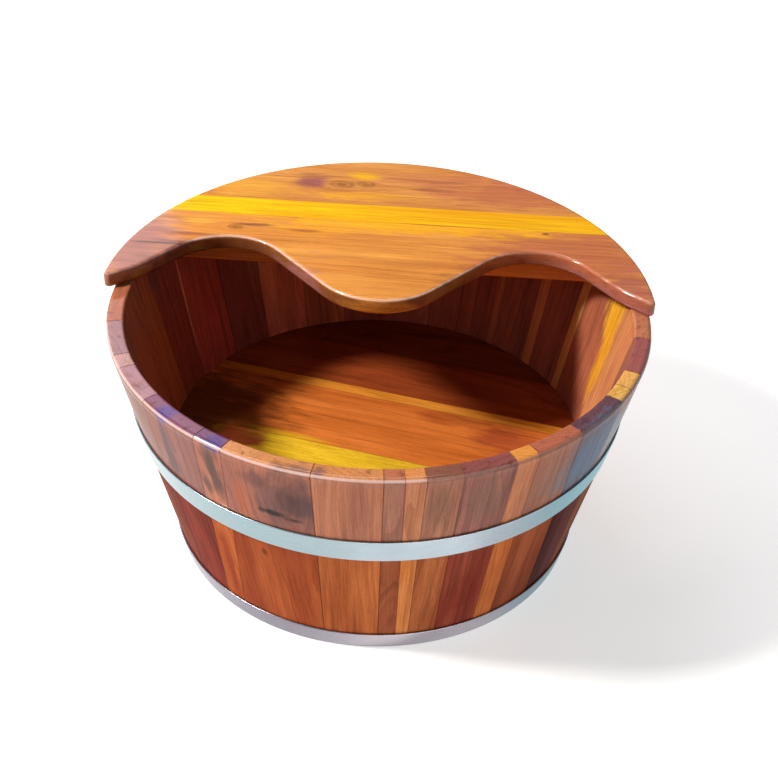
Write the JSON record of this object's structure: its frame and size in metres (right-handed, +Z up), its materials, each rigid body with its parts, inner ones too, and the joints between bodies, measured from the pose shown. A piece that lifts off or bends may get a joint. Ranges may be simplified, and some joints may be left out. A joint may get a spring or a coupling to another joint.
{
  "type": "wooden foot soaking tub",
  "caption": "Round coopered wooden foot tub with tapered staves, steel hoops, a raised floor and a loose half lid whose waved front edge leaves room for the legs.",
  "frame": {"origin": "centre of the ring of stave ends that the tub stands on", "axes": "+Z up, -Y towards the person who soaks their feet (the open side), the lid over the +Y half, +X to that person's right"},
  "size_m": [0.4063, 0.3988, 0.2086],
  "materials": {
    "stave_wood": "planed hardwood staves in red-brown, orange and tan, gloss varnish",
    "floor_wood": "orange-brown hardwood boards with yellow sapwood, gloss varnish",
    "lid_wood": "orange-brown hardwood boards with a yellow sapwood strip and knots, gloss varnish",
    "tenon_wood": "plain planed hardwood, unfinished",
    "hoop_steel": "rolled stainless strip, satin",
    "screw_steel": "bright steel countersunk wood screw"
  },
  "bodies": {
    "tub": {"stave_01": "stave_wood", "stave_02": "stave_wood", "stave_03": "stave_wood", "stave_04": "stave_wood", "stave_05": "stave_wood", "stave_06": "stave_wood", "stave_07": "stave_wood", "stave_08": "stave_wood", "stave_09": "stave_wood", "stave_10": "stave_wood", "stave_11": "stave_wood", "stave_12": "stave_wood", "stave_13": "stave_wood", "stave_14": "stave_wood", "stave_15": "stave_wood", "stave_16": "stave_wood", "stave_17": "stave_wood", "stave_18": "stave_wood", "stave_19": "stave_wood", "stave_20": "stave_wood", "stave_21": "stave_wood", "stave_22": "stave_wood", "stave_23": "stave_wood", "stave_24": "stave_wood", "stave_25": "stave_wood", "stave_26": "stave_wood", "stave_27": "stave_wood", "stave_28": "stave_wood", "stave_29": "stave_wood", "stave_30": "stave_wood", "stave_31": "stave_wood", "stave_32": "stave_wood", "stave_33": "stave_wood", "stave_34": "stave_wood", "floor_board_1": "floor_wood", "floor_board_2": "floor_wood", "floor_board_3": "floor_wood", "floor_board_4": "floor_wood", "floor_board_5": "floor_wood", "floor_board_6": "floor_wood", "floor_tenons": "tenon_wood", "upper_hoop": "hoop_steel", "lower_hoop": "hoop_steel", "hoop_rivets": "hoop_steel"},
    "lid": {"lid_front_board": "lid_wood", "lid_middle_board": "lid_wood", "lid_back_board": "lid_wood", "lid_cleat": "lid_wood", "lid_tenons": "tenon_wood", "cleat_screws": "screw_steel"}
  },
  "joints": [
    {"name": "lid_lift", "type": "slide", "parent": "tub", "child": "lid", "axis": [0, 0, 1], "range_m": [0, 0.15]}
  ]
}
